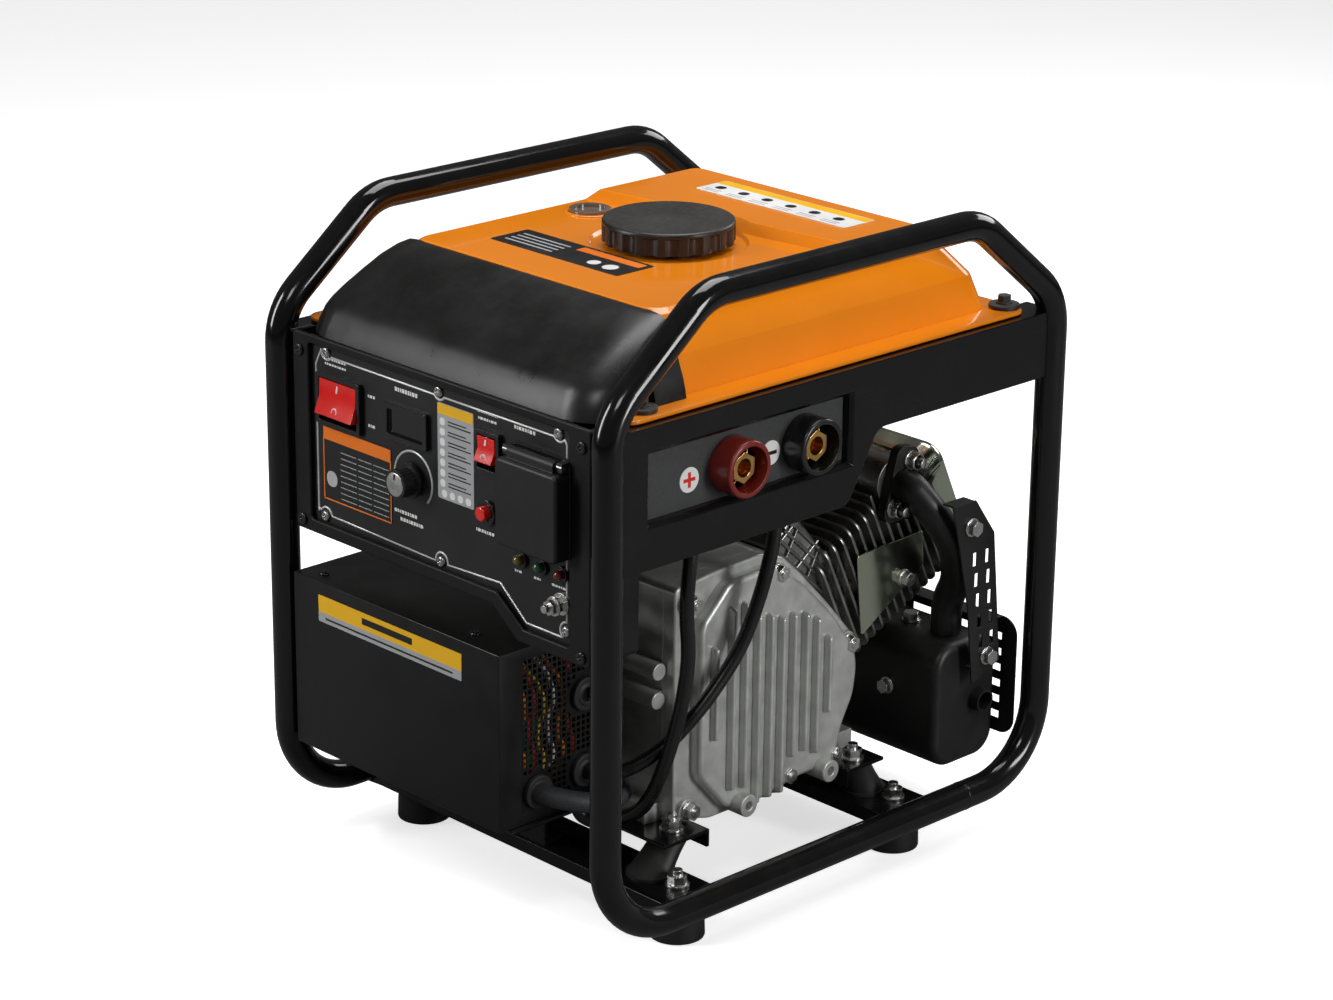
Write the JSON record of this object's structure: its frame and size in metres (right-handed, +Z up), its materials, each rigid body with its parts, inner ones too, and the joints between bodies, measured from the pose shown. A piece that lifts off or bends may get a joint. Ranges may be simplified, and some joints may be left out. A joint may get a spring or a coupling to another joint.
{
  "type": "engine driven welder",
  "caption": "Petrol inverter generator and welding source in an open frame of bent tube, with a tank on top, a sloping control front, side welding sockets and a finned engine.",
  "frame": {"origin": "on the floor, under the middle of the whole object's box", "axes": "+X to the operator's right, the side with the welding sockets; +Y to the back; +Z up"},
  "size_m": [0.3746, 0.476, 0.4986],
  "materials": {
    "frame_black": "gloss black stoved paint on bent steel tube",
    "rail_black": "gloss black stoved paint on folded steel sheet",
    "rubber_black": "dull black rubber",
    "zinc": "bright zinc plated steel",
    "tank_orange": "gloss orange paint on pressed steel",
    "cap_black": "satin black moulded plastic",
    "gauge_lens": "clear plastic lens over a dial",
    "knob_black": "black fluted knob with a bright metal cap",
    "fascia_black": "fine textured satin black moulded plastic",
    "panel_charcoal": "charcoal printed overlay on steel sheet",
    "screws": "zinc and black oxide screws",
    "switch_black": "black switch housing",
    "rocker_red": "translucent red plastic rocker",
    "display_smoke": "smoked meter window in a black bezel",
    "steel": "machined and forged steel",
    "button_red": "red button",
    "outlet_black": "satin black moulded outlet",
    "lamp_holder": "black holders with coloured lenses",
    "socket_grey": "grained charcoal plastic plate",
    "socket_red": "dark red moulded insulating collar",
    "socket_black": "black moulded insulating collar",
    "brass": "turned and milled brass",
    "case_black": "satin black powder paint on folded steel sheet",
    "board_green": "circuit board with aluminium heat sink",
    "sleeve_grey": "braided dark grey sleeve",
    "cable_black": "black rubber cable sheath",
    "cast_aluminium": "sand textured pressure cast aluminium",
    "fin_aluminium": "cast aluminium cooling fins",
    "zinc_yellow": "faintly yellow zinc plated steel sheet",
    "copper_windings": "varnished windings on laminated steel",
    "recoil_black": "black painted pressed steel",
    "air_cleaner_black": "black moulded plastic",
    "exhaust_black": "matt black heat resistant paint"
  },
  "bodies": {
    "frame": {"left_hoop": "frame_black", "right_hoop": "frame_black", "front_cross_beam": "rail_black", "rear_cross_beam": "rail_black", "left_side_rail": "rail_black", "right_side_rail": "rail_black", "rubber_feet": "rubber_black", "flange_nuts": "zinc", "engine_mounts": "rubber_black", "mount_brackets": "rail_black", "fuel_tank": "tank_orange", "fuel_gauge": "gauge_lens", "tank_bolts": "rubber_black", "fuel_tap": "zinc", "fuel_hose": "rubber_black", "front_fascia": "fascia_black", "control_panel": "panel_charcoal", "cover_screws": "screws", "switch_bezels": "switch_black", "current_display": "display_smoke", "current_potentiometer": "steel", "reset_breaker": "switch_black", "outlet_body": "outlet_black", "outlet_hinge_pin": "steel", "indicator_lamps": "lamp_holder", "ground_terminal": "zinc", "socket_plate": "socket_grey", "positive_socket": "socket_red", "negative_socket": "socket_black", "socket_inserts": "brass", "inverter_case": "case_black", "inverter_board": "board_green", "inverter_tray": "rail_black", "cable_grommets": "rubber_black", "alternator_harness": "sleeve_grey", "weld_cables": "cable_black", "crankcase": "cast_aluminium", "crankcase_cover": "cast_aluminium", "engine_bolts": "zinc", "cylinder": "fin_aluminium", "rocker_cover": "zinc_yellow", "air_guide": "zinc_yellow", "alternator_stator": "copper_windings", "alternator_housing": "cast_aluminium", "recoil_housing": "recoil_black", "carburettor": "cast_aluminium", "air_cleaner": "air_cleaner_black", "exhaust_pipe": "exhaust_black", "muffler": "exhaust_black", "exhaust_guards": "exhaust_black"},
    "weld_switch": {"weld_switch_rocker": "rocker_red"},
    "power_switch": {"power_switch_rocker": "rocker_red"},
    "knob": {"current_knob": "knob_black"},
    "button": {"reset_button": "button_red"},
    "flap": {"outlet_flap": "outlet_black"},
    "cap": {"fuel_cap": "cap_black"},
    "tap_lever": {"fuel_tap_lever": "knob_black"},
    "choke": {"choke_lever": "steel"},
    "crank": {"crankshaft": "steel"},
    "grip": {"recoil_grip": "knob_black"}
  },
  "joints": [
    {"name": "weld_switch_tilt", "type": "hinge", "parent": "frame", "child": "weld_switch", "pos_m": [-0.1109, -0.214, 0.3625], "axis": [1, 0, 0], "range_deg": [0, 24]},
    {"name": "power_switch_tilt", "type": "hinge", "parent": "frame", "child": "power_switch", "pos_m": [0.0503, -0.214, 0.3658], "axis": [1, 0, 0], "range_deg": [0, 24]},
    {"name": "current_knob_turn", "type": "hinge", "parent": "frame", "child": "knob", "pos_m": [-0.0317, -0.23, 0.325], "axis": [0, -1, 0], "range_deg": [-135, 135]},
    {"name": "reset_push", "type": "slide", "parent": "frame", "child": "button", "axis": [0, 1, 0], "range_m": [0, 0.003], "stiffness_N_per_m": 400},
    {"name": "outlet_flap_hinge", "type": "hinge", "parent": "frame", "child": "flap", "pos_m": [0.1053, -0.23, 0.3775], "axis": [-1, 0, 0], "range_deg": [0, 110], "stiffness_Nm_per_rad": 0.02, "springref_deg": -22.92},
    {"name": "fuel_cap_turn", "type": "hinge", "parent": "frame", "child": "cap", "pos_m": [0.0023, -0.006, 0.475], "axis": [0, 0, 1], "range_deg": [0, 90]},
    {"name": "fuel_tap_turn", "type": "hinge", "parent": "frame", "child": "tap_lever", "pos_m": [-0.1181, 0.098, 0.322], "axis": [1, 0, 0], "range_deg": [0, 90]},
    {"name": "choke_turn", "type": "hinge", "parent": "frame", "child": "choke", "pos_m": [-0.0507, 0.126, 0.262], "axis": [0, 1, 0], "range_deg": [0, 60]},
    {"name": "crankshaft_spin", "type": "hinge", "parent": "frame", "child": "crank", "pos_m": [0.0473, -0.006, 0.15], "axis": [1, 0, 0], "continuous": true},
    {"name": "starter_pull", "type": "slide", "parent": "frame", "child": "grip", "axis": [-1, 0, 0], "range_m": [0, 0.35], "stiffness_N_per_m": 15, "springref_m": -0.2}
  ]
}
